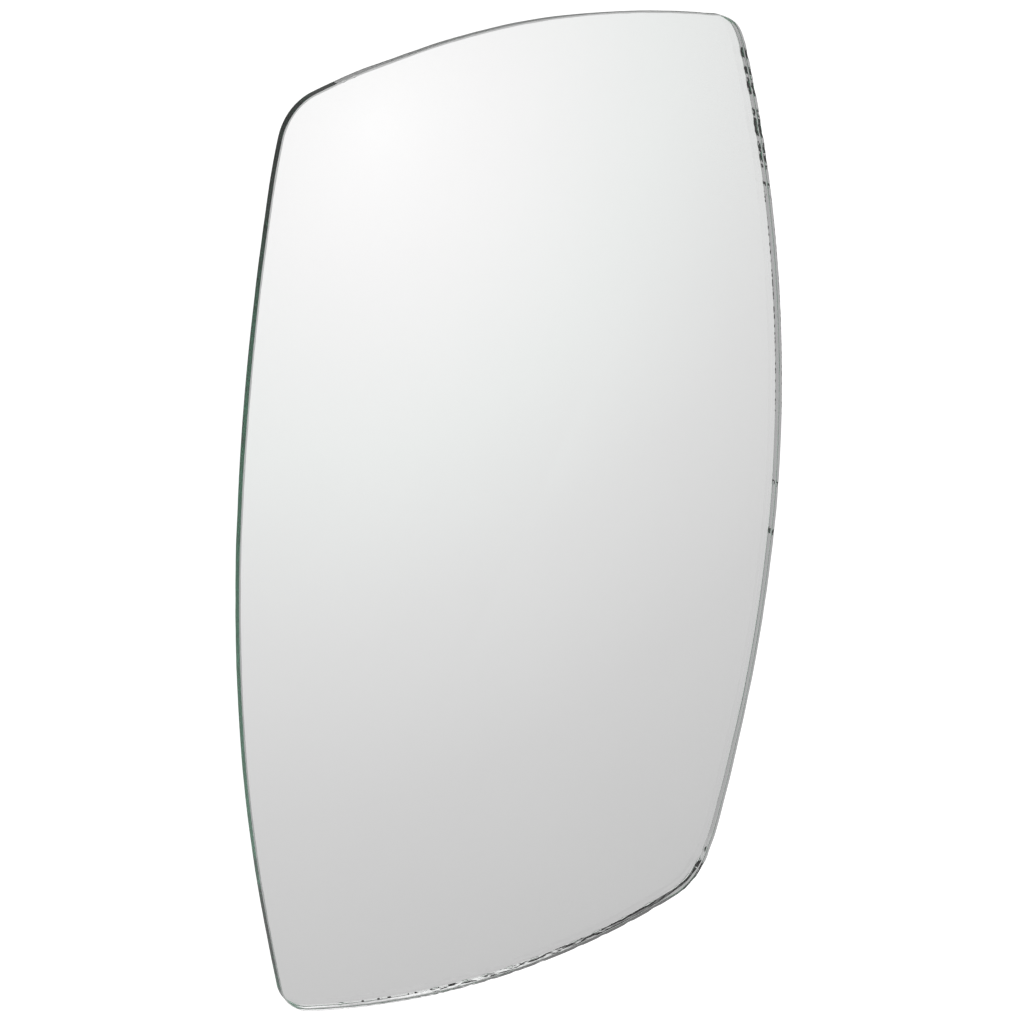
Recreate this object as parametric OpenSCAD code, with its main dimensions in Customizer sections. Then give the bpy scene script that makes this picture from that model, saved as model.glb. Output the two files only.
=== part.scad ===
// Convex glass of a car door mirror, taken out of its housing.
// It is one sheet of glass, cut to a barrel outline, ground along both rims and bent to a sphere.
// It was cut before it was bent, so its wall stands square to the face all the way round.
// It lies face up on the four corners of its hollow back, its height along Y.

/* [Glass] */
// Width across the ground edge, half way up
glass_w = 116; // [90:1:150]
// Height across the ground edge, on the centre line
glass_h = 190; // [160:1:240]
// Thickness of the glass
glass_t = 2; // [1.6:0.1:3]
// Radius of the bulging face
face_r = 1000; // [800:10:1600]

/* [Outline] */
// Radius of the two long side arcs
side_arc_r = 340; // [250:5:500]
// Radius of the two short end arcs
end_arc_r = 155; // [120:5:250]
// Radius of the four corners
corner_r = 9.5; // [5:0.5:16]

/* [Ground edge] */
// Width of the bevel ground along the front rim
front_bevel = 0.2; // [0.1:0.05:0.4]
// Width of the bevel ground along the back rim
back_bevel = 0.2; // [0.1:0.05:0.4]

/* [Chipped rim] */
// Length along the rim of the largest chip
chip_len = 4; // [3:0.1:6]
// How deep the largest chip goes into the wall
chip_depth = 0.4; // [0.1:0.05:0.6]
// Length along the rim of the largest flake
flake_len = 4; // [3:0.1:6]
// How far the largest flake widens the front bevel
flake_bite = 0.25; // [0.1:0.05:0.5]
// How far the largest flake reaches down the wall
flake_drop = 0.5; // [0.2:0.05:0.8]

/* [Hidden] */

// Spacing of the points along the rim, and of those along the rings inside the faces
rim_step = 1;
ring_step = 8;
// Sizes of the rings inside the faces, as shares of the outline
RING_SHARES = [0.15, 0.32, 0.49, 0.66, 0.81, 0.93];
// Depth that a flake is scooped out to in its middle, as a share of its width
SCOOP = 0.25;
// Where a chip is deepest and where it ends, as shares of the wall from its top
CHIP_LOW = 0.45;
CHIP_END = 0.9;
// Depth of a chip at the top of the wall, as a share of its greatest depth
CHIP_TOP = 0.4;

// Centres of the arcs: the corner arc touches the side arc and the end arc from within
side_centre = [glass_w / 2 - side_arc_r, 0];
end_centre = [0, glass_h / 2 - end_arc_r];
side_reach = side_arc_r - corner_r;
end_reach = end_arc_r - corner_r;
apart = end_centre - side_centre;
ahead = (side_reach * side_reach - end_reach * end_reach + apart * apart) / 2 / norm(apart);
aside = sqrt(side_reach * side_reach - ahead * ahead);
corner_centre = side_centre + (ahead * apart + aside * [-apart.y, apart.x]) / norm(apart);
side_stop = atan2(corner_centre.y, corner_centre.x - side_centre.x);
end_start = atan2(corner_centre.y - end_centre.y, corner_centre.x);

function flip_x(p) = [-p.x, p.y];
function flip_y(p) = [p.x, -p.y];

// The eight arcs of the outline, counter-clockwise: centre, radius, first and last direction, name
ARCS = [
    [side_centre, side_arc_r, -side_stop, side_stop, "right"],
    [corner_centre, corner_r, side_stop, end_start, "top right"],
    [end_centre, end_arc_r, end_start, 180 - end_start, "top"],
    [flip_x(corner_centre), corner_r, 180 - end_start, 180 - side_stop, "top left"],
    [flip_x(side_centre), side_arc_r, 180 - side_stop, 180 + side_stop, "left"],
    [-corner_centre, corner_r, 180 + side_stop, 180 + end_start, "foot left"],
    [flip_y(end_centre), end_arc_r, 180 + end_start, 360 - end_start, "foot"],
    [flip_y(corner_centre), corner_r, 360 - end_start, 360 - side_stop, "foot right"]
];

function length_of(arc) = arc[1] * (arc[3] - arc[2]) * PI / 180;
function length_before(n) = n == 0 ? 0 : length_before(n - 1) + length_of(ARCS[n - 1]);
function number_of(name) = [for (n = [0:len(ARCS) - 1]) if (ARCS[n][4] == name) n][0];
perimeter = length_before(len(ARCS));

// Point of the outline a given way round it, with its outward direction
function on_arc(arc, way) =
    let (dir = arc[2] + way / arc[1] * 180 / PI)
    [arc[0] + arc[1] * [cos(dir), sin(dir)], [cos(dir), sin(dir)]];
function on_rim(way, n = 0) =
    way <= length_of(ARCS[n]) || n == len(ARCS) - 1
        ? on_arc(ARCS[n], way)
        : on_rim(way - length_of(ARCS[n]), n + 1);

// Breaks in the rim: the arc, how far along it as a share from its middle to its end, how large.
// A chip is a hollow in the wall that starts at the front rim. A flake is a shell off the front rim.
CHIPS = [
    ["right", 0.984, 0.65], ["right", 0.942, 0.5], ["right", 0.905, 0.9], ["right", 0.843, 0.6],
    ["right", 0.807, 1], ["right", 0.762, 0.3], ["right", 0.739, 0.45], ["right", 0.714, 0.3],
    ["right", 0.672, 0.35], ["right", -0.053, 0.3], ["right", -0.173, 0.35], ["right", -0.99, 0.3]
];
FLAKES = [
    ["foot", -0.82, 0.3], ["foot", -0.32, 0.3], ["foot", -0.16, 0.4], ["foot", -0.05, 0.5],
    ["foot", 0.085, 0.4], ["foot", 0.222, 0.5], ["foot", 0.44, 0.5], ["foot", 0.57, 0.6],
    ["foot", 0.72, 0.75], ["foot", 0.87, 1], ["foot right", -0.75, 0.6], ["foot right", -0.25, 0.7],
    ["foot right", 0.6, 0.4]
];

// How deep a break is at a place along the rim, as a share of the largest: deepest half way along it
function middle_of(b) =
    let (n = number_of(b[0]))
    length_before(n) + length_of(ARCS[n]) * (1 + b[1]) / 2;
function depth_of(b, way, len) = b[2] * max(0, 1 - pow(2 * (way - middle_of(b)) / len / b[2], 2));
function deepest(way, list, len) = max([for (b = list) depth_of(b, way, len)]);

// The two surfaces, and the way from the face straight into the sheet, from the centre of the sphere
back_r = face_r - glass_t;
function on_face(p) = [p.x, p.y, sqrt(face_r * face_r - p * p)];
function on_back(p) = [p.x, p.y, sqrt(back_r * back_r - p * p)];
function below(p, depth) = p * (face_r - depth) / face_r;

// Section through the rim: face, bevel with the scoop of a flake, wall with the hollow of a chip, back
function rim_section(way) =
    let (
        rim = on_rim(way),
        outward = [rim[1].x, rim[1].y, 0],
        chip = chip_depth * deepest(way, CHIPS, chip_len),
        flake = deepest(way, FLAKES, flake_len),
        ground_to = below(on_face(rim[0]), front_bevel + flake_drop * flake),
        wall_foot = below(on_face(rim[0]), glass_t - back_bevel),
        nibble = CHIP_TOP * chip,
        face_edge = on_face(rim[0] - (front_bevel + flake_bite * flake + nibble) * rim[1]),
        wall_top = ground_to - nibble * outward,
        scoop = SCOOP * flake_bite * flake / sqrt(2),
        bevel_mid = (face_edge + wall_top) / 2 - scoop * (outward + [0, 0, 1]),
        chip_low = ground_to + CHIP_LOW * (wall_foot - ground_to) - chip * outward,
        chip_end = ground_to + CHIP_END * (wall_foot - ground_to),
        back_edge = on_back([wall_foot.x, wall_foot.y] - back_bevel * rim[1])
    )
    [face_edge, bevel_mid, wall_top, chip_low, chip_end, wall_foot, back_edge];

split = round(ring_step / rim_step);
inner_count = ceil(perimeter / ring_step);
rim_count = inner_count * split;
SECTIONS = [for (i = [0:rim_count - 1]) rim_section(i * perimeter / rim_count)];
INSIDE = [for (i = [0:inner_count - 1]) on_rim(i * perimeter / inner_count)[0]];
rim_rings = len(SECTIONS[0]);
floor_z = min([for (s = SECTIONS) s[rim_rings - 1].z]);

// All points: the rings around the rim, then each face's inner rings and its middle
inner_points = len(RING_SHARES) * inner_count + 1;
face_first = rim_rings * rim_count;
back_first = face_first + inner_points;
POINTS = concat(
    [for (ring = [0:rim_rings - 1], s = SECTIONS) s[ring]],
    [for (share = RING_SHARES, p = INSIDE) on_face(share * p)],
    [on_face([0, 0])],
    [for (share = RING_SHARES, p = INSIDE) on_back(share * p)],
    [on_back([0, 0])]
);

// Triangles between two rings of points, the second ring further out or further down
function band(a, b, count) = [
    for (i = [0:count - 1], half = [0, 1])
        let (j = (i + 1) % count)
        half == 0 ? [a + i, a + j, b + j] : [a + i, b + j, b + i]
];

// The same from an inner ring to the closer points of the rim
function widening(a, b) = concat(
    [for (i = [0:rim_count - 1]) [a + round(i / split) % inner_count, b + (i + 1) % rim_count, b + i]],
    [for (i = [0:inner_count - 1]) [a + i, a + (i + 1) % inner_count, b + i * split + ceil(split / 2)]]
);

// A whole face, from its middle to its rim
function cap(first, rim) =
    let (
        last = len(RING_SHARES) - 1,
        middle = first + inner_points - 1,
        starts = [for (r = [0:last]) first + r * inner_count]
    )
    concat(
        [for (i = [0:inner_count - 1]) [middle, first + (i + 1) % inner_count, first + i]],
        [for (r = [0:last - 1]) each band(starts[r], starts[r + 1], inner_count)],
        widening(starts[last], rim)
    );

// The same triangles facing the other way
function turned(triangles) = [for (t = triangles) [t[0], t[2], t[1]]];

module mirror_glass()
    color("gainsboro")
        translate([0, 0, -floor_z])
            polyhedron(
                points = POINTS,
                faces = concat(
                    cap(face_first, 0),
                    [for (r = [0:rim_rings - 2]) each band(r * rim_count, (r + 1) * rim_count, rim_count)],
                    turned(cap(back_first, (rim_rings - 1) * rim_count))
                )
            );

mirror_glass();
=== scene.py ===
# %% [markdown]
# # A car door mirror glass
# The real thing is one sheet of glass, bent to a sphere and silvered on its hollow back, which
# then gets a coat of paint. It lies here face up on its four back corners. All that the eye gets
# from it is light that went through the glass and back, so it is built as a real sheet of glass
# on a real mirror film, and not as a shiny plate.

# %% Load the frame
import math

import bmesh
import bpy
from mathutils import Matrix, Vector, noise


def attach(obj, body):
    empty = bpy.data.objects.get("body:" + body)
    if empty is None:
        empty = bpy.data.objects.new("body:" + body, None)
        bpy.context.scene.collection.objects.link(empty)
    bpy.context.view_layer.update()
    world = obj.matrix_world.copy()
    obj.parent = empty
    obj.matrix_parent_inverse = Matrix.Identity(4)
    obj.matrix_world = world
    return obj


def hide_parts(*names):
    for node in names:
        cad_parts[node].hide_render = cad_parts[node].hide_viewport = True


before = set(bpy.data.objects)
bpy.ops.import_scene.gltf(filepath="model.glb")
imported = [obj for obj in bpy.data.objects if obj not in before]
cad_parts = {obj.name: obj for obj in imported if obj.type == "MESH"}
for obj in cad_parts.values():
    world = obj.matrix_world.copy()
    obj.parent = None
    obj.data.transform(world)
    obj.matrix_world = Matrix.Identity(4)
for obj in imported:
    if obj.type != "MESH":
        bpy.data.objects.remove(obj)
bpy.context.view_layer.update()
MM = 0.001

# %% [markdown]
# ## Sizes
# The glass is cut flat, ground along both rims and then bent to a radius of a metre. These are
# the sizes that the part's source has. All is modelled in millimetres and scaled to metres at
# the end, because a bevel of 0.2 is easier to read than one of 0.0002.

# %% Sizes of the sheet
WIDTH, HEIGHT, THICK, FACE_R = 116, 190, 2, 1000
SIDE_R, END_R, CORNER_R = 340, 155, 9.5
FRONT_BEVEL, BACK_BEVEL = 0.2, 0.2
BACK_R = FACE_R - THICK
# The film lies this much inside the part's thickness, which leaves room for the paint
COAT = 0.06
FILM_R = BACK_R + COAT
print("the face bulges by", round(FACE_R - math.sqrt(FACE_R**2 - HEIGHT**2 / 4), 2), "mm over its height")

# %% [markdown]
# ## The barrel outline
# Two long side arcs and two short end arcs make the barrel, and a small arc rounds each corner.
# It touches both of its neighbours from within, so its centre is where two circles cross: one
# round the side arc's centre and one round the end arc's, each smaller by the corner's radius.
# The other three corners are mirror images of that one.

# %% Centres, radii and directions of the eight arcs
side_centre = Vector((WIDTH / 2 - SIDE_R, 0))
end_centre = Vector((0, HEIGHT / 2 - END_R))
apart = end_centre - side_centre
ahead = ((SIDE_R - CORNER_R) ** 2 - (END_R - CORNER_R) ** 2 + apart.length_squared) / 2 / apart.length
aside = math.sqrt((SIDE_R - CORNER_R) ** 2 - ahead**2)
corner = side_centre + (ahead * apart + aside * Vector((-apart.y, apart.x))) / apart.length
side_stop = math.atan2(corner.y, corner.x - side_centre.x)
end_start = math.atan2(corner.y - end_centre.y, corner.x)
HALF, FULL = math.pi, 2 * math.pi
ARCS = {
    "right": (side_centre, SIDE_R, -side_stop, side_stop),
    "top right": (corner, CORNER_R, side_stop, end_start),
    "top": (end_centre, END_R, end_start, HALF - end_start),
    "top left": (corner * Vector((-1, 1)), CORNER_R, HALF - end_start, HALF - side_stop),
    "left": (-side_centre, SIDE_R, HALF - side_stop, HALF + side_stop),
    "foot left": (-corner, CORNER_R, HALF + side_stop, HALF + end_start),
    "foot": (-end_centre, END_R, HALF + end_start, FULL - end_start),
    "foot right": (corner * Vector((1, -1)), CORNER_R, FULL - end_start, FULL - side_stop),
}
print("corner arc centre:", [round(v, 2) for v in corner])


# %% Find a place on the rim: the arc, and a share from -1 at its start to 1 at its end
def middle_of(name, share):
    before = 0
    for arc, (_, radius, start, stop) in ARCS.items():
        length = radius * (stop - start)
        if arc == name:
            return before + length * (1 + share) / 2
        before += length


LENGTH_ROUND = middle_of("foot right", 1)
print("length round the rim:", round(LENGTH_ROUND, 1), "mm")

# %% [markdown]
# ## Tracing the outline
# A ring of points could be typed in, but a spun point traces an arc exactly. One point is spun
# round the eight centres in turn, which leaves a ring of edges behind it. Each point keeps how
# far along the rim it is and which way is outwards, in layers of the mesh. Extruding the ring
# copies the layers, so every later point still knows its place on the rim.

# %% Start a mesh with the three layers
def new_rim_mesh():
    bm = bmesh.new()
    way_of = bm.verts.layers.float.new("way")
    out_of = bm.verts.layers.float_vector.new("outward")
    return bm, way_of, out_of, bm.verts.layers.int.new("ring")


# %% Trace the outline with a spun point
def trace_outline(bm, step):
    way_of = bm.verts.layers.float["way"]
    out_of = bm.verts.layers.float_vector["outward"]
    centre, radius, start, _ = ARCS["right"]
    outward = Vector((math.cos(start), math.sin(start), 0))
    first = last = bm.verts.new(centre.to_3d() + radius * outward)
    first[out_of] = outward
    way = 0
    for centre, radius, start, stop in ARCS.values():
        steps, count = math.ceil(radius * (stop - start) / step), len(bm.verts)
        bmesh.ops.spin(
            bm, geom=[last], cent=centre.to_3d(), axis=(0, 0, 1), angle=stop - start,
            steps=steps, use_merge=False, space=Matrix.Identity(4),
        )
        bm.verts.ensure_lookup_table()
        for n, point in enumerate(bm.verts[count:], 1):
            turn = start + (stop - start) * n / steps
            point[way_of] = way + radius * (turn - start)
            point[out_of] = (math.cos(turn), math.sin(turn), 0)
            last = point
        way += radius * (stop - start)
    fresh = bm.verts[first.index:]
    bmesh.ops.weld_verts(bm, targetmap={last: first})
    return list(dict.fromkeys(e for v in fresh if v.is_valid for e in v.link_edges))


# %% Add further rings, each an extrusion of the one before, and close the last one
def add_rings(bm, edges, numbers):
    ring_of = bm.verts.layers.int["ring"]
    for number in numbers:
        made = bmesh.ops.extrude_edge_only(bm, edges=edges)["geom"]
        new = {g for g in made if isinstance(g, bmesh.types.BMVert)}
        for v in new:
            v[ring_of] = number
        edges = [g for g in made if isinstance(g, bmesh.types.BMEdge) and set(g.verts) <= new]
    return edges


def close_middle(bm, edges, number):
    ring_of = bm.verts.layers.int["ring"]
    filled = bmesh.ops.edgeloop_fill(bm, edges=edges)["faces"]
    for v in bmesh.ops.poke(bm, faces=filled)["verts"]:
        v[ring_of] = number


# %% Give the faces a fixed order, because an extrusion numbers them differently on every run
def sort_faces(bm):
    bm.verts.index_update()
    bm.faces.sort(key=lambda face: sum(v.index**2 for v in face.verts))


# %% [markdown]
# ## The breaks in the rim
# Glass breaks in shells. Nicks sit in the wall, most of them along the upper right side, and
# long flakes run along the front rim of the foot and its right corner. A nick is a hollow in the
# wall that starts at the front rim and has a hackled floor. A flake widens the front bevel and
# reaches down the wall. A boolean could cut them, but a break is far smaller than the sheet, so
# it is simpler to let the rim's section itself sink in where a break is.

# %% Where the nicks are: the arc, the place from its start to its end, the size
NICKS = [
    ("right", 0.984, 0.65), ("right", 0.942, 0.5), ("right", 0.905, 0.9), ("right", 0.843, 0.45),
    ("right", 0.807, 1), ("right", 0.762, 0.45), ("right", 0.737, 0.65), ("right", 0.714, 0.25),
    ("right", 0.672, 0.35), ("right", 0.644, 0.2), ("right", -0.053, 0.3), ("right", -0.173, 0.35),
    ("right", -0.99, 0.25), ("left", -0.9, 0.15), ("left", -0.82, 0.2), ("left", -0.71, 0.12),
    ("left", -0.65, 0.15), ("left", -0.3, 0.12), ("foot right", 0.35, 0.7),
]
# Length and depth in mm of the largest nick, the roughness of its floor, and its section: how
# deep it is at the front rim, and the shares of the wall where it is deepest and where it ends
NICK_LEN, NICK_DEEP, HACKLE = 4, 0.4, 0.07
NICK_RIM, NICK_LOW, NICK_FOOT = 0.4, 0.45, 0.9
nicks = [(middle_of(name, share), size) for name, share, size in NICKS]
print(len(nicks), "nicks, the largest", NICK_LEN, "mm long")

# %% Where the flakes are
FLAKES = [
    ("foot", -0.82, 0.3), ("foot", -0.32, 0.3), ("foot", -0.16, 0.4), ("foot", -0.05, 0.5),
    ("foot", 0.085, 0.4), ("foot", 0.222, 0.5), ("foot", 0.44, 0.5), ("foot", 0.57, 0.5),
    ("foot", 0.72, 0.55), ("foot", 0.87, 0.7), ("foot right", -0.75, 0.35), ("foot right", -0.25, 0.7),
    ("foot right", 0.6, 0.4), ("top", 0.82, 0.2), ("top", 0.87, 0.2),
]
# Length of the largest flake, how far it bites into the face and drops down the wall, in mm,
# and how hollow it is as a share of its bite
FLAKE_LEN, FLAKE_BITE, FLAKE_DROP, SCOOP = 4, 0.25, 0.5, 0.25
flakes = [(middle_of(name, share), size) for name, share, size in FLAKES]
print(len(flakes), "flakes, the largest", FLAKE_LEN, "mm long")


# %% How deep the breaks are at a place along the rim, as a share of the largest
def wander(way, pace, row):
    return noise.noise(Vector((way * pace, row * 7.3, 0.5)))


def depth_at(way, breaks, length):
    deep = max(size * max(0, 1 - (2 * (way - middle) / length / size) ** 2) for middle, size in breaks)
    return deep * (1 + 0.4 * wander(way, 2.5, 1))


largest, _ = max(nicks, key=lambda nick: nick[1])
print("largest nick:", round(NICK_DEEP * depth_at(largest, nicks, NICK_LEN), 2), "mm deep")

# %% [markdown]
# ## What the grinder left
# A belt never cuts quite straight. Both bevels grow and shrink along the rim, the wall leans
# until it is upright at the foot, the belt chatters there, and the outline strays from its arcs
# by half a millimetre near one corner. A table gives each of these at a few places, and a smooth
# curve runs from each row to the next, all the way round.

# %% Values that change slowly round the rim
def round_the_rim(table):
    rows = sorted((middle_of(name, share), *values) for name, share, *values in table)
    before = rows[-1][0] - LENGTH_ROUND, *rows[-1][1:]
    after = rows[0][0] + LENGTH_ROUND, *rows[0][1:]
    return [before, *rows, after]


def values_at(rows, way):
    for (a, *before), (b, *after) in zip(rows, rows[1:]):
        if way <= b:
            run = (way - a) / (b - a)
            run = run * run * (3 - 2 * run)
            return [u + (v - u) * run for u, v in zip(before, after)]


# %% The belt's marks: the arc, the place, shares of front and back bevel, the lean, the chatter
belt = round_the_rim((
    ("right", -0.9, 0.6, 1, 0.5, 0.2), ("right", -0.6, 1.3, 1, 0, 0), ("right", -0.1, 0.8, 1, 0, 0),
    ("right", 0.1, 0.3, 1, 0, 0), ("right", 0.8, 0.3, 1, 0, 0), ("top right", 0, 0.7, 1, 0, 0),
    ("top", -0.8, 1, 1.6, -0.3, 0), ("top", -0.5, 1, 1.8, -0.8, 0), ("top", -0.1, 1, 2.4, 0, 0),
    ("top", 0.6, 1, 2.6, 0, 0), ("top", 0.78, 1, 1, 0, 0), ("left", -0.5, 1, 1.2, 0, 0),
    ("left", 0.6, 1, 1, 0, 0), ("foot left", 0, 1, 1, 0, 0), ("foot", -0.6, 1, 1, 0.5, 0.3),
    ("foot", -0.3, 0.8, 1, 1, 1), ("foot", 0, 0.5, 0.8, 1, 1), ("foot", 0.4, 0.3, 0.5, 1, 1),
    ("foot", 0.9, 0.2, 0.5, 1, 1), ("foot right", -0.7, 0.4, 2.8, 1, 0.3),
    ("foot right", -0.1, 0.4, 2.4, 1, 0.3), ("foot right", 0.5, 0.4, 1, 1, 0.5),
))
print("belt marks in the middle of the foot:", values_at(belt, middle_of("foot", 0)))

# %% How far the outline strays from its arcs, in mm outwards
stray = round_the_rim((
    ("right", -0.99, 0.25), ("right", -0.94, 0.52), ("right", -0.84, 0.3), ("right", -0.7, 0.1),
    ("right", -0.26, 0.07), ("right", -0.09, 0.17), ("right", 0.08, 0.09), ("right", 0.4, 0.04),
    ("right", 0.7, 0), ("top right", -0.8, -0.1), ("top right", 0.1, 0.34), ("top right", 0.7, 0.28),
    ("top", -0.95, 0.12), ("top", -0.7, 0), ("top", -0.4, -0.06), ("top", 0, 0.03),
    ("top", 0.35, -0.04), ("top", 0.6, -0.14), ("top", 0.8, 0), ("top left", 0, -0.1),
    ("left", -0.93, 0.12), ("left", -0.75, -0.05), ("left", -0.58, -0.16), ("left", -0.41, -0.2),
    ("left", -0.25, -0.11), ("left", -0.08, 0.01), ("left", 0.25, 0.08), ("left", 0.43, 0.13),
    ("left", 0.6, 0.07), ("left", 0.85, 0), ("foot left", 0.2, 0.19), ("foot", -0.6, 0.1),
    ("foot", 0.3, 0.12), ("foot", 0.7, 0.26), ("foot right", -0.5, 0.2), ("foot right", 0.3, 0.1),
))
print("the outline strays by up to", max(row[1] for row in stray), "mm")

# %% [markdown]
# ## The section of the rim
# Around the whole rim the section goes from the face over the front bevel, down the wall and
# over the back bevel to the film. The sheet is cut flat and then bent, so its wall is square to
# the face where it doesn't lean. A swept profile curve couldn't sink in at the breaks, so each
# point of each ring gets its place from one function.

# %% Rings of the section, and the hollow of a nick down the wall
BEVEL_RINGS, WALL_RINGS = 4, 10
RIM_RINGS = BEVEL_RINGS + WALL_RINGS + 2
WALL_TOP, WALL_FOOT, BACK_EDGE = BEVEL_RINGS, BEVEL_RINGS + WALL_RINGS, RIM_RINGS - 1


def nick_shape(share):
    if share < NICK_LOW:
        return NICK_RIM + (1 - NICK_RIM) * math.sin(share / NICK_LOW * math.pi / 2)
    return math.sin(max(0, NICK_FOOT - share) / (NICK_FOOT - NICK_LOW) * math.pi / 2)


print("hollow of a nick down the wall:", [round(nick_shape(n / 5), 2) for n in range(6)])


# %% Unevenness of the wall, in mm: long waves, the belt's chatter, and the floors of the nicks
WAVE, CHATTER = 0.01, 0.05


def unevenness(way, share, chatter, hollow):
    wave = WAVE * wander(way, 0.5, 4 + share) + CHATTER * chatter * wander(way, 0.9, 6 + 0.3 * share)
    hackled = HACKLE * min(1, hollow / 0.1) * noise.noise(Vector((way * 2.2, share * 4, 8.5)))
    return wave * math.sin(math.pi * share) + hackled


# %% Place one point of the section
def on_sphere(p, radius):
    return Vector((p.x, p.y, math.sqrt(radius * radius - p.x * p.x - p.y * p.y)))


def section_point(ring, way, rim, outward):
    flake, nick = depth_at(way, flakes, FLAKE_LEN), NICK_DEEP * depth_at(way, nicks, NICK_LEN)
    front, back, lean, chatter = values_at(belt, way)
    rim = rim + values_at(stray, way)[0] * outward
    front *= FRONT_BEVEL * (1 + 0.25 * wander(way, 0.35, 2))
    back *= BACK_BEVEL * (1 + 0.3 * wander(way, 0.3, 3))
    face = on_sphere(rim, FACE_R)
    top = face * (1 - (front + FLAKE_DROP * flake) / FACE_R)
    foot = face * ((FILM_R + back) / FACE_R)
    foot.xy = foot.xy.lerp(rim.xy, lean)
    if ring < WALL_TOP:
        share = ring / WALL_TOP
        inset = front + FLAKE_BITE * flake + NICK_RIM * nick
        place = on_sphere(rim - inset * outward, FACE_R).lerp(top - NICK_RIM * nick * outward, share)
        return place - 4 * share * (1 - share) * SCOOP * flake * (outward + Vector((0, 0, 1))).normalized()
    if ring <= WALL_FOOT:
        share = (ring - WALL_TOP) / WALL_RINGS
        hollow = nick * nick_shape(share)
        return top.lerp(foot, share) + (unevenness(way, share, chatter, hollow) - hollow) * outward
    return on_sphere(foot.xy.to_3d() - back * outward, FILM_R)


# %% [markdown]
# ## The sheet of glass
# The rim needs a point every quarter of a millimetre, but the two bent faces need only a few
# hundred in all. A grid could be bent and cut, but it would never meet the rim cleanly. So the
# faces are rings of a coarser outline, and a bridge joins the two spacings.

# %% Build the sheet flat, as rings
RIM_STEP, FACE_STEP = 0.25, 3
# Sizes of the rings inside the faces, as shares of the outline, the last one being the middle
SHARES = (0.985, 0.93, 0.8, 0.64, 0.48, 0.32, 0.16, 0)
# Numbers of the outermost of these rings in the front face and in the back
FRONT, BACK = 100, 200
bm, way_of, out_of, ring_of = new_rim_mesh()
rim_edges = trace_outline(bm, RIM_STEP)
back_edges = add_rings(bm, rim_edges, range(1, RIM_RINGS))
bridges = []
for side, edges in ((FRONT, rim_edges), (BACK, back_edges)):
    outer = trace_outline(bm, FACE_STEP)
    for v in {v for e in outer for v in e.verts}:
        v[ring_of] = side
    inner = add_rings(bm, outer, range(side + 1, side + len(SHARES) - 1))
    close_middle(bm, inner, side + len(SHARES) - 1)
    bridges.append(edges + outer)
print(len(bm.verts), "points,", len(bm.faces), "faces")

# %% Find the floor: the plain section's back corners, at the part's full thickness, stand on it
# The outline is smaller there, because the wall runs toward the centre of the sphere
INSET = (BACK_R + BACK_BEVEL) / FACE_R
floor_z = min(
    on_sphere(v.co.xy.to_3d() * INSET - BACK_BEVEL * v[out_of], BACK_R).z
    for v in bm.verts if v[ring_of] == BACK_EDGE
)
print("floor below the centre of the sphere:", round(floor_z, 3), "mm")

# %% Bend it: every point goes to its place on a sphere or on the rim's section
for v in bm.verts:
    ring, plan = v[ring_of], v.co.xy.to_3d()
    if ring < RIM_RINGS:
        v.co = section_point(ring, v[way_of], plan, v[out_of])
    else:
        v.co = on_sphere(plan * SHARES[ring % FRONT], FACE_R if ring < BACK else FILM_R)
    v.co.z -= floor_z
for loops in bridges:
    bmesh.ops.bridge_loops(bm, edges=loops)
bmesh.ops.scale(bm, verts=bm.verts, vec=(MM, MM, MM))
bmesh.ops.recalc_face_normals(bm, faces=bm.faces)
heights = [v.co.z / MM for v in bm.verts]
print("lowest and highest point in mm:", round(min(heights), 3), round(max(heights), 3))

# %% [markdown]
# ## Which finish each face has
# The nicks' broken facets look dark, and that shade is painted: a dark dull material stands in for
# it. The painted shade keeps to spots about half a millimetre wide, which a noise picks out, and to
# specks along the front rim of the right side and the foot. The spots could be painted by a mask in
# a shader, but whole faces get another material instead.

# %% The stretches of rim with painted dark specks, and where the top was ground coarser
RIGHT_SIDE = middle_of("right", 0.12), middle_of("right", 0.66)
NICKED = middle_of("right", -0.9), middle_of("top right", 0.5)
FOOT_CORNER = middle_of("foot right", -0.5)
FOOT_SIDE = middle_of("foot", -0.75), middle_of("foot", 0.8)
TOP_SIDE = middle_of("top right", 0.8), middle_of("top", 0.9)
# How many spots of painted shade there are to a millimetre, and how strong the noise is where a speck lies
# on the front rim
SPECK_PACE, RIM_SPECK_RIGHT, RIM_SPECK_FOOT = 2.4, 0.12, 0.3
print("stretch of painted specks of the right side in mm along the rim:", [round(way) for way in RIGHT_SIDE])


# %% Find the faces with painted dark specks, by the way along the rim and the share down the wall
# Specks of painted shade along the front rim of the right side and the foot
def is_rim_speck_shade(way):
    rim_speck = noise.noise(Vector((way * SPECK_PACE, 0.5, 6.5)))
    on_right = RIGHT_SIDE[0] < way < RIGHT_SIDE[1] and rim_speck > RIM_SPECK_RIGHT
    return on_right or FOOT_SIDE[0] < way < FOOT_SIDE[1] and rim_speck > RIM_SPECK_FOOT


# Spots of painted shade in the nicks down the wall, or specks of it along the front rim
def is_speck_shade(way, share):
    spot = noise.noise(Vector((way * SPECK_PACE, share * 2.6, 3.5)))
    nick = depth_at(way, nicks, NICK_LEN)
    reach = 1 if way > FOOT_CORNER else 0.62 + 0.2 * nick
    if (NICKED[0] < way < NICKED[1] or way > FOOT_CORNER) and nick > 0.06:
        return 0.05 < share < reach and spot > 0.05 - 0.6 * nick
    return share < 0.2 and is_rim_speck_shade(way)


# %% Sort the faces by finish
# One of these finishes is painted shade: dark specks on the broken facets and the front rim
POLISHED, GROUND, FILM, SHELL, CUT, PAINTED_SHADE, COARSE = range(7)


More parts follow.
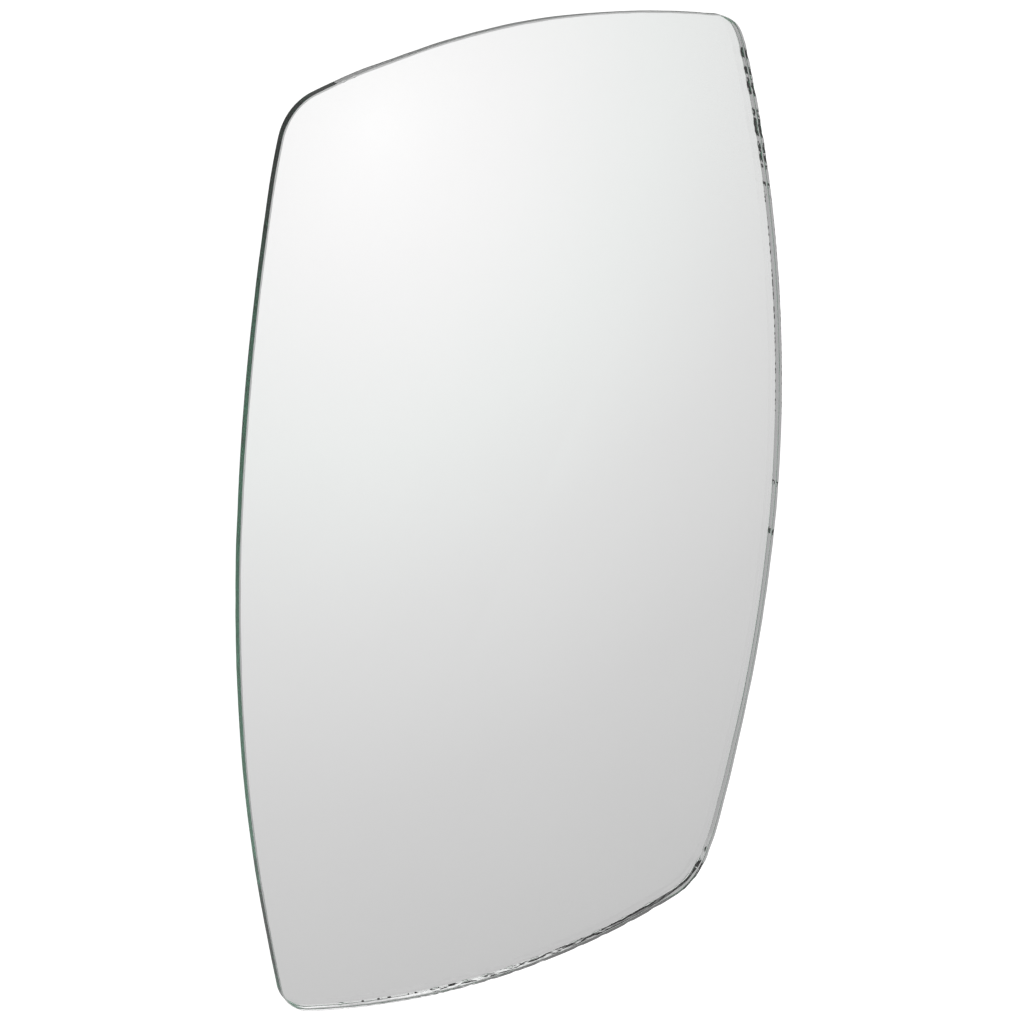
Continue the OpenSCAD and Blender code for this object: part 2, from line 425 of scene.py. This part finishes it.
def finish_of(rings, ways):
    if max(rings) >= BACK:
        return FILM
    if max(rings) >= FRONT:
        return POLISHED
    if max(rings) <= WALL_TOP:
        if depth_at(ways[0], flakes, FLAKE_LEN) > 0.1:
            return SHELL
        return PAINTED_SHADE if is_rim_speck_shade(ways[0]) else GROUND
    if TOP_SIDE[0] < ways[0] < TOP_SIDE[1]:
        return COARSE
    if max(rings) == BACK_EDGE:
        return GROUND
    share = (sum(rings) / len(rings) - WALL_TOP) / WALL_RINGS
    return PAINTED_SHADE if is_speck_shade(sum(ways) / len(ways), share) else CUT


for face in bm.faces:
    face.material_index = finish_of([v[ring_of] for v in face.verts], [v[way_of] for v in face.verts])
    face.smooth = True
print("faces by finish:", [sum(f.material_index == n for f in bm.faces) for n in range(7)])

# %% [markdown]
# The grinding follows the rim, so its pattern needs a map that does too: millimetres along the
# rim one way, and rings down the section the other way. The face on the seam starts at the end
# of the rim and ends past it, and not back at 0.

# %% Map the rim, and mark the sharp borders between the bevels, the wall and the faces
RING_HEIGHT = 0.2
rim_uv = bm.loops.layers.uv.new("rim")
for face in bm.faces:
    ways = [v[way_of] for v in face.verts]
    wraps = max(ways) - min(ways) > LENGTH_ROUND / 2
    for loop in face.loops:
        way = loop.vert[way_of]
        past = LENGTH_ROUND if wraps and way < LENGTH_ROUND / 2 else 0
        loop[rim_uv].uv = (way + past, min(loop.vert[ring_of], RIM_RINGS) * RING_HEIGHT)
for edge in bm.edges:
    rings = {v[ring_of] for v in edge.verts}
    if len(rings) == 1 and rings & {0, WALL_TOP, WALL_FOOT, BACK_EDGE}:
        edge.smooth = False
print(sum(not edge.smooth for edge in bm.edges), "sharp edges")

# %% [markdown]
# ## The finishes of the glass
# The face is polished, the bevels and the top are ground, the wall is cut and the breaks are
# shells, which are smooth because glass parts cleanly. All are the same clear glass with a
# little green in its depth. A tinted surface would colour the face and the rim alike, so the
# green is an absorption in the volume: only light that has run a long way inside turns green.

# %% Helpers for materials: a node's own settings and its inputs are set by name
def new_material(name):
    material = bpy.data.materials.new(name)
    material.use_nodes = True
    return material, material.node_tree, material.node_tree.nodes["Principled BSDF"]


def add(tree, kind, **values):
    node = tree.nodes.new(kind)
    for key, value in values.items():
        if hasattr(node, key):
            setattr(node, key, value)
        else:
            node.inputs[key.replace("_", " ")].default_value = value
    return node


def wire(tree, *pairs):
    for start, end in pairs:
        tree.links.new(start, end)


# %% A helper for node groups, with named inputs and outputs
def new_group(name, inputs, outputs):
    group = bpy.data.node_groups.new(name, "ShaderNodeTree")
    for label, kind, value in inputs:
        socket = group.interface.new_socket(label, in_out="INPUT", socket_type=kind)
        if value is not None:
            socket.default_value = value
    for label, kind in outputs:
        group.interface.new_socket(label, in_out="OUTPUT", socket_type=kind)
    return group, group.nodes.new("NodeGroupInput"), group.nodes.new("NodeGroupOutput")


# %% A group for belt grinding: fine lines along the rim, and a grain
grinding, g_in, g_out = new_group(
    "belt grinding",
    [
        ("Vector", "NodeSocketVector", None),
        ("Smooth", "NodeSocketFloat", 0.3), ("Rough", "NodeSocketFloat", 0.5),
    ],
    [("Roughness", "NodeSocketFloat"), ("Height", "NodeSocketFloat")],
)
lines_at = add(grinding, "ShaderNodeMapping", Scale=(0.25, 9, 1))
lines = add(grinding, "ShaderNodeTexNoise", Scale=1, Detail=3)
grain = add(grinding, "ShaderNodeTexNoise", Scale=14, Detail=2)
both = add(grinding, "ShaderNodeMath", operation="ADD")
spread = add(grinding, "ShaderNodeMapRange", From_Min=0.7, From_Max=1.3)
wire(
    grinding,
    (g_in.outputs["Vector"], lines_at.inputs["Vector"]),
    (lines_at.outputs["Vector"], lines.inputs["Vector"]),
    (g_in.outputs["Vector"], grain.inputs["Vector"]),
    (lines.outputs["Fac"], both.inputs[0]),
    (grain.outputs["Fac"], both.inputs[1]),
    (both.outputs[0], spread.inputs["Value"]),
    (g_in.outputs["Smooth"], spread.inputs["To Min"]),
    (g_in.outputs["Rough"], spread.inputs["To Max"]),
    (spread.outputs[0], g_out.inputs["Roughness"]),
    (both.outputs[0], g_out.inputs["Height"]),
)
print("group made:", grinding.name)

# %% Glass: how rough it is between the lines and on them, and the lines' depth in mm
TINT, GLASS_IOR = (0.998, 1, 0.999, 1), 1.52
DEPTH_GREEN, DEPTH_DENSITY = (0.2, 0.76, 0.525, 1), 16


def glass_material(name, low, high, bump):
    material, tree, shader = new_material(name)
    shader.inputs["Base Color"].default_value = TINT
    shader.inputs["IOR"].default_value = GLASS_IOR
    shader.inputs["Transmission Weight"].default_value = 1
    where = add(tree, "ShaderNodeUVMap", uv_map="rim")
    marks = add(tree, "ShaderNodeGroup", node_tree=grinding, Smooth=low, Rough=high)
    depth = add(tree, "ShaderNodeVolumeAbsorption", Color=DEPTH_GREEN, Density=DEPTH_DENSITY)
    wire(
        tree,
        (where.outputs["UV"], marks.inputs["Vector"]),
        (marks.outputs["Roughness"], shader.inputs["Roughness"]),
        (depth.outputs["Volume"], tree.nodes["Material Output"].inputs["Volume"]),
    )
    if bump:
        relief = add(tree, "ShaderNodeBump", Strength=1, Distance=bump * MM)
        wire(tree, (marks.outputs["Height"], relief.inputs["Height"]))
        wire(tree, (relief.outputs["Normal"], shader.inputs["Normal"]))
    return material


polished = glass_material("polished glass", 0, 0.01, 0)
ground = glass_material("ground glass", 0.3, 0.5, 0.01)
shell = glass_material("shelled glass", 0.02, 0.1, 0.004)
cut = glass_material("cut glass", 0.05, 0.12, 0.0005)
coarse = glass_material("coarse ground glass", 0.7, 0.95, 0.01)
print("five finishes of one glass, IOR", GLASS_IOR)

# %% [markdown]
# ## Painted dark specks and film
# The dark specks are painted shade, a dull dark crust with lighter grains. The film is aluminium,
# seen only through the glass. It needs no glossy coat of its own: a smooth metal under clear glass
# is a mirror. Its brightness varies by a hundredth, as a film does that was laid down as a vapour.
# Both patterns read Object coordinates, because they don't follow the rim.

# %% A noise on the object
def object_noise(tree, scale, detail):
    where = add(tree, "ShaderNodeTexCoord")
    clouds = add(tree, "ShaderNodeTexNoise", Scale=scale, Detail=detail)
    wire(tree, (where.outputs["Object"], clouds.inputs["Vector"]))
    return clouds.outputs["Fac"]


# %% Painted shade: dark specks in the nicks and along the front rim
DARK_SHADE_SPECK, LIGHT_SHADE_SPECK = (0.012, 0.011, 0.01, 1), (0.09, 0.085, 0.08, 1)
shade_specks_material, tree, shader = new_material("painted shade specks")
shader.inputs["Roughness"].default_value = 0.7
shades = add(tree, "ShaderNodeValToRGB")
shades.color_ramp.elements[0].color, shades.color_ramp.elements[1].color = DARK_SHADE_SPECK, LIGHT_SHADE_SPECK
wire(
    tree,
    (object_noise(tree, 900, 3), shades.inputs["Fac"]),
    (shades.outputs["Color"], shader.inputs["Base Color"]),
)
print("material made:", shade_specks_material.name)

# %% The film, seen through the glass
film, tree, shader = new_material("aluminium film")
shader.inputs["Metallic"].default_value = 1
shader.inputs["Roughness"].default_value = 0
silver = add(tree, "ShaderNodeMapRange", To_Min=0.935, To_Max=0.955)
wire(tree, (object_noise(tree, 30, 2), silver.inputs["Value"]))
wire(tree, (silver.outputs[0], shader.inputs["Base Color"]))
print("material made:", film.name)


# %% Make the piece, which stands for the part's solid
def piece_from(bm, name, materials):
    sort_faces(bm)
    mesh = bpy.data.meshes.new(name)
    bm.to_mesh(mesh)
    bm.free()
    piece = bpy.data.objects.new(name, mesh)
    bpy.context.scene.collection.objects.link(piece)
    for material in materials:
        mesh.materials.append(material)
    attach(piece, "root")
    return piece


glass = piece_from(bm, "silvered_glass", (polished, ground, film, shell, cut, shade_specks_material, coarse))
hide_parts("mirror_glass")
print(glass.name, "has", len(glass.data.polygons), "faces and", len(glass.data.materials), "finishes")

# %% [markdown]
# ## The coat of paint
# The film would rub off, so the back is sprayed with paint. It is a sheet a twentieth of a
# millimetre thick that follows the film, as far as the back bevel leaves room. The photo doesn't
# show it: it is what such glasses have. Spray paint dries with an orange peel surface, which is
# too fine for the mesh, so a bump makes it.

# %% The finish of the paint
DARK_GREY, LIGHT_GREY = (0.36, 0.365, 0.36, 1), (0.44, 0.445, 0.44, 1)
paint, tree, shader = new_material("back paint")
greys = add(tree, "ShaderNodeValToRGB")
greys.color_ramp.elements[0].position, greys.color_ramp.elements[1].position = 0.35, 0.65
greys.color_ramp.elements[0].color, greys.color_ramp.elements[1].color = DARK_GREY, LIGHT_GREY
peel = object_noise(tree, 700, 2)
dull = add(tree, "ShaderNodeMapRange", To_Min=0.45, To_Max=0.65)
relief = add(tree, "ShaderNodeBump", Strength=0.6, Distance=0.02 * MM)
wire(
    tree,
    (object_noise(tree, 45, 4), greys.inputs["Fac"]),
    (greys.outputs["Color"], shader.inputs["Base Color"]),
    (peel, dull.inputs["Value"]),
    (dull.outputs[0], shader.inputs["Roughness"]),
    (peel, relief.inputs["Height"]),
    (relief.outputs["Normal"], shader.inputs["Normal"]),
)
print("material made:", paint.name)

# %% Lay out the sheet of paint, inside the back bevel
# Its thickness and the spacing of its points in mm, and its inset in widths of the back bevel
PAINT_THICK, PAINT_STEP, PAINT_INSET = 0.05, 1, 1.2
bm, way_of, out_of, ring_of = new_rim_mesh()
close_middle(bm, add_rings(bm, trace_outline(bm, PAINT_STEP), range(1, len(SHARES))), len(SHARES))
for v in bm.verts:
    bevel = BACK_BEVEL * max(1, values_at(belt, v[way_of])[1])
    plan = v.co.xy.to_3d() * INSET - PAINT_INSET * bevel * v[out_of]
    v.co = on_sphere(plan * (1, *SHARES)[v[ring_of]], BACK_R + PAINT_THICK)
    v.co.z -= floor_z
print(len(bm.verts), "points in the sheet of paint")

# %% Give it its thickness, downwards from the film
sort_faces(bm)
bmesh.ops.recalc_face_normals(bm, faces=bm.faces)
for face in bm.faces:
    face.smooth = True
    if face.normal.z > 0:
        face.normal_flip()
bmesh.ops.solidify(bm, geom=bm.faces[:], thickness=-PAINT_THICK)
bmesh.ops.scale(bm, verts=bm.verts, vec=(MM, MM, MM))
bmesh.ops.recalc_face_normals(bm, faces=bm.faces)
print("paint heights in mm:", [round(f(v.co.z for v in bm.verts) / MM, 3) for f in (min, max)])
back_paint = piece_from(bm, "back_paint", (paint,))

# %% [markdown]
# ## The floor
# The photo's ground is plain white. A white floor in white light would also throw white light
# into the glass from below, which the photo's dark rim doesn't show. So the floor glows white
# for the camera and only softly for the glass.

# %% Lay the floor
FLOOR_R, FLOOR_GLOW = 3, 0.36
bm = bmesh.new()
bmesh.ops.create_circle(bm, cap_ends=True, segments=96, radius=FLOOR_R)
floor = bpy.data.objects.new("floor", bpy.data.meshes.new("floor"))
bm.to_mesh(floor.data)
bm.free()
bpy.context.scene.collection.objects.link(floor)
pale, tree, shader = new_material("pale floor")
shader.inputs["Base Color"].default_value = (0.35, 0.35, 0.35, 1)
shader.inputs["Roughness"].default_value = 0.8
shader.inputs["Emission Color"].default_value = (1, 1, 1, 1)
seen = add(tree, "ShaderNodeLightPath")
glow = add(tree, "ShaderNodeMapRange", To_Min=FLOOR_GLOW, To_Max=1)
wire(
    tree,
    (seen.outputs["Is Camera Ray"], glow.inputs["Value"]),
    (glow.outputs[0], shader.inputs["Emission Strength"]),
)
floor.data.materials.append(pale)
print("floor", 2 * FLOOR_R, "m across")

# %% [markdown]
# ## The studio
# A mirror shows nothing but its surroundings. The face shows a glow that fades outwards in rings,
# and the rim looks past it, at a grey wall, two white panels, a pale ceiling and a few dark
# corners. They could be modelled as boards, but soft patches of the world's colour have no edges
# to show in the face and cost no time. All are given by their direction.

# %% A soft patch of the surroundings: 1 near its centre, fading to 0, in degrees
patch, p_in, p_out = new_group(
    "soft patch",
    [
        ("Direction", "NodeSocketVector", None), ("Centre", "NodeSocketVector", None),
        ("Inner", "NodeSocketFloat", 20), ("Outer", "NodeSocketFloat", 30),
    ],
    [("Share", "NodeSocketFloat")],
)
facing = add(patch, "ShaderNodeVectorMath", operation="DOT_PRODUCT")
arc = add(patch, "ShaderNodeMath", operation="ARCCOSINE")
degrees = add(patch, "ShaderNodeMath", operation="DEGREES")
fade = add(patch, "ShaderNodeMapRange", interpolation_type="SMOOTHSTEP", To_Min=1, To_Max=0)
wire(
    patch,
    (p_in.outputs["Direction"], facing.inputs[0]),
    (p_in.outputs["Centre"], facing.inputs[1]),
    (facing.outputs["Value"], arc.inputs[0]),
    (arc.outputs[0], degrees.inputs[0]),
    (degrees.outputs[0], fade.inputs["Value"]),
    (p_in.outputs["Inner"], fade.inputs["From Min"]),
    (p_in.outputs["Outer"], fade.inputs["From Max"]),
    (fade.outputs[0], p_out.inputs["Share"]),
)
print("group made:", patch.name)

# %% The world, and the angle of each direction from the middle of the glow
scene = bpy.context.scene
world = bpy.data.worlds.new("studio")
scene.world = world
world.use_nodes = True
tree = world.node_tree
GLOW_MIDDLE, GLOW_SPREAD = (0.4476, -0.2119, 0.8688), 40
ray = add(tree, "ShaderNodeTexCoord")
facing = add(tree, "ShaderNodeVectorMath", operation="DOT_PRODUCT")
facing.inputs[1].default_value = GLOW_MIDDLE
angle = add(tree, "ShaderNodeMath", operation="ARCCOSINE")
share = add(tree, "ShaderNodeMath", operation="DIVIDE")
share.inputs[1].default_value = math.radians(GLOW_SPREAD)
ramp = add(tree, "ShaderNodeValToRGB")
wire(
    tree,
    (ray.outputs["Generated"], facing.inputs[0]),
    (facing.outputs["Value"], angle.inputs[0]),
    (angle.outputs[0], share.inputs[0]),
    (share.outputs[0], ramp.inputs["Fac"]),
)
print("the glow spreads over", GLOW_SPREAD, "degrees")

# %% How the glow fades: degrees from its middle, and the colour there
GLOW = (
    (0, (0.965, 0.965, 0.965)), (4, (0.904, 0.904, 0.904)), (10, (0.808, 0.826, 0.817)),
    (16, (0.712, 0.716, 0.714)), (22, (0.624, 0.624, 0.624)), (30, (0.545, 0.545, 0.545)),
    (40, (0.52, 0.52, 0.52)),
)
stops = ramp.color_ramp.elements
while len(stops) < len(GLOW):
    stops.new(0.5)
for stop, (off, colour) in zip(stops, GLOW):
    stop.position = off / GLOW_SPREAD
    stop.color = (*colour, 1)
print(len(stops), "steps from the middle of the glow to the plain wall")


# %% The patches, each laid over those before it: where, how wide, how bright
def toward(azimuth, height):
    a, h = math.radians(azimuth), math.radians(height)
    return Vector((math.cos(h) * math.cos(a), math.cos(h) * math.sin(a), math.sin(h)))


PATCHES = (
    ("grey wall", toward(220, 48), 25, 45, 0.38),
    ("white panel", toward(14, 50), 10, 18, 1),
    ("low panel", toward(49, 23), 9, 24, 0.95),
    ("dark corner", toward(78, 62), 26, 35, 0.15),
    ("low dark wall", toward(88, 12), 18, 27, 0.17),
    ("dark side", toward(128, 54), 18, 32, 0.02),
    ("ceiling", toward(0, 90), 8, 25, 0.55),
)
colour = ramp.outputs["Color"]
for name, centre, inner, outer, value in PATCHES:
    spot = add(tree, "ShaderNodeGroup", node_tree=patch, label=name, Centre=centre, Inner=inner, Outer=outer)
    blend = add(tree, "ShaderNodeMix", data_type="RGBA")
    blend.inputs[7].default_value = (value, value, value, 1)
    wire(
        tree,
        (ray.outputs["Generated"], spot.inputs["Direction"]),
        (spot.outputs["Share"], blend.inputs[0]),
        (colour, blend.inputs[6]),
    )
    colour = blend.outputs[2]
print(len(PATCHES), "patches of the surroundings")

# %% Warm the light a little, and show the camera a plain backdrop
WARMTH, BACKDROP, STRENGTH = (0.988, 0.948, 0.964, 1), (0.85, 0.85, 0.85, 1), 1.15
warm = add(tree, "ShaderNodeMix", data_type="RGBA", blend_type="MULTIPLY")
warm.inputs[0].default_value = 1
warm.inputs[7].default_value = WARMTH
shown = add(tree, "ShaderNodeMix", data_type="RGBA")
shown.inputs[7].default_value = BACKDROP
seen = add(tree, "ShaderNodeLightPath")
backdrop = tree.nodes["Background"]
backdrop.inputs["Strength"].default_value = STRENGTH
wire(
    tree,
    (colour, warm.inputs[6]),
    (warm.outputs[2], shown.inputs[6]),
    (seen.outputs["Is Camera Ray"], shown.inputs[0]),
    (shown.outputs[2], backdrop.inputs["Color"]),
)
print("world:", world.name)

# %% [markdown]
# ## The lamp
# One large disc of light gives the painted dark specks and the paint their shading and the glass its faint
# shadow. The face would show it as a hard white disc, so mirrors and glass don't see it.

# %% Hang a soft box
lamp = bpy.data.lights.new("soft box", "AREA")
lamp.shape, lamp.size, lamp.energy = "DISK", 1.2, 3
holder = bpy.data.objects.new("soft box", lamp)
holder.location = (0.2, 1.0, 1.8)
holder.rotation_euler = holder.location.to_track_quat("Z", "Y").to_euler()
holder.visible_glossy = holder.visible_transmission = False
scene.collection.objects.link(holder)
print("soft box", round(lamp.size, 2), "m across,", lamp.energy, "W")

# %% [markdown]
# ## The camera
# Its place and direction were found by fitting the outline of the glass to the photo's. A long
# lens from 0.8 m away gives the same perspective as the photo has.

# %% Place the camera
EYE = Vector((-0.38699, 0.33119, 0.57872))
ACROSS, UPWARD = Vector((0.8362, 0.0239, 0.5479)), Vector((0.2164, 0.9036, -0.3697))
ONWARD = Vector((0.5039, -0.4277, -0.7504))
camera_data = bpy.data.cameras.new("camera")
camera_data.sensor_width = 36
camera_data.lens = 150.03
camera_data.clip_start = 0.01
camera = bpy.data.objects.new("camera", camera_data)
camera.matrix_world = Matrix.Translation(EYE) @ Matrix((ACROSS, UPWARD, -ONWARD)).transposed().to_4x4()
scene.collection.objects.link(camera)
scene.camera = camera
print("camera", round(EYE.length, 2), "m from the glass")

# %% [markdown]
# ## Light paths
# Light runs along inside the sheet and meets its film and walls many times before it leaves
# through the rim. Each meeting is a bounce, and with the usual number of them the rim would turn
# black. The Standard view keeps the photo's tones.

# %% Allow many bounces
BOUNCES = 64
scene.cycles.max_bounces = BOUNCES
scene.cycles.glossy_bounces = BOUNCES
scene.cycles.transmission_bounces = BOUNCES
scene.view_settings.view_transform = "Standard"
print("up to", BOUNCES, "bounces")
